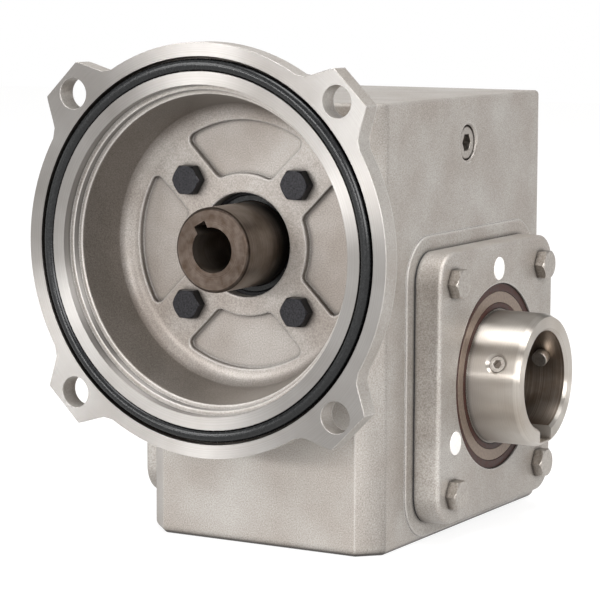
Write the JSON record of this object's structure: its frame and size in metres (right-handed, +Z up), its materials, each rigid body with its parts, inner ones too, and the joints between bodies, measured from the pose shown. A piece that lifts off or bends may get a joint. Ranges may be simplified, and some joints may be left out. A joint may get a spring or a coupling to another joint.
{
  "type": "worm gear reducer",
  "caption": "Right-angle worm gear reducer in a cast stainless housing, with a round motor bell, a blind hollow input and a keyed hollow output through both sides.",
  "frame": {"origin": "centre of the hollow output bore, midway between its two ends", "axes": "+X along the output bore towards the side cover, -Y out of the motor bell, +Z up from the base"},
  "size_m": [0.158, 0.1806, 0.1812],
  "materials": {
    "cast_stainless": "matte blasted casting",
    "machined_stainless": "turned",
    "shaft_steel": "ground",
    "bearing_steel": "polished",
    "cage_steel": "pressed",
    "stainless_fasteners": "satin",
    "black_oxide_steel": "black oxide",
    "wheel_bronze": "machined",
    "wheel_hub_iron": "machined",
    "seal_rubber": "matte",
    "black_rubber": "soft sheen",
    "white_plastic": "matte",
    "gasket_fibre": "matte"
  },
  "bodies": {
    "case": {"housing": "cast_stainless", "motor_flange": "machined_stainless", "motor_face_oring": "black_rubber", "flange_gasket": "gasket_fibre", "flange_bolts": "black_oxide_steel", "side_cover": "cast_stainless", "cover_gasket": "gasket_fibre", "cover_bolts": "stainless_fasteners", "cover_plugs": "white_plastic", "rear_cap": "machined_stainless", "rear_gasket": "gasket_fibre", "rear_cap_bolts": "stainless_fasteners", "oil_plug_cover_side": "stainless_fasteners", "oil_plug_far_side": "stainless_fasteners", "cover_side_seal": "seal_rubber", "cover_side_seal_ring": "stainless_fasteners", "far_side_seal": "seal_rubber", "far_side_seal_ring": "stainless_fasteners", "input_seal": "black_rubber", "input_seal_ring": "black_oxide_steel", "cover_side_bearing_cup": "bearing_steel", "far_side_bearing_cup": "bearing_steel", "worm_front_bearing_cup": "bearing_steel", "worm_rear_bearing_cup": "bearing_steel"},
    "output": {"output_shaft": "machined_stainless", "output_set_screws": "stainless_fasteners", "wheel_key": "shaft_steel", "wheel_hub": "wheel_hub_iron", "wheel_rim": "wheel_bronze", "cover_side_bearing_cone": "bearing_steel", "far_side_bearing_cone": "bearing_steel"},
    "worm": {"worm_shaft": "shaft_steel", "worm_front_bearing_cone": "bearing_steel", "worm_rear_bearing_cone": "bearing_steel"},
    "output_rollers": {"cover_side_bearing_rollers": "bearing_steel", "far_side_bearing_rollers": "bearing_steel", "cover_side_bearing_cage": "cage_steel", "far_side_bearing_cage": "cage_steel"},
    "worm_rollers": {"worm_front_bearing_rollers": "bearing_steel", "worm_rear_bearing_rollers": "bearing_steel", "worm_front_bearing_cage": "cage_steel", "worm_rear_bearing_cage": "cage_steel"}
  },
  "joints": [
    {"name": "output_spin", "type": "hinge", "parent": "case", "child": "output", "pos_m": [0, 0, 0], "axis": [1, 0, 0], "continuous": true},
    {"name": "worm_spin", "type": "hinge", "parent": "case", "child": "worm", "pos_m": [0, 0, 0.053], "axis": [0, 1, 0], "continuous": true},
    {"name": "output_rollers_spin", "type": "hinge", "parent": "case", "child": "output_rollers", "pos_m": [0, 0, 0], "axis": [1, 0, 0], "continuous": true},
    {"name": "worm_rollers_spin", "type": "hinge", "parent": "case", "child": "worm_rollers", "pos_m": [0, 0, 0.053], "axis": [0, 1, 0], "continuous": true}
  ],
  "couplings": [
    {"joint": "worm_spin", "follows": "output_spin", "ratio": 30},
    {"joint": "output_rollers_spin", "follows": "output_spin", "ratio": 0.44002},
    {"joint": "worm_rollers_spin", "follows": "output_spin", "ratio": 12.538}
  ]
}
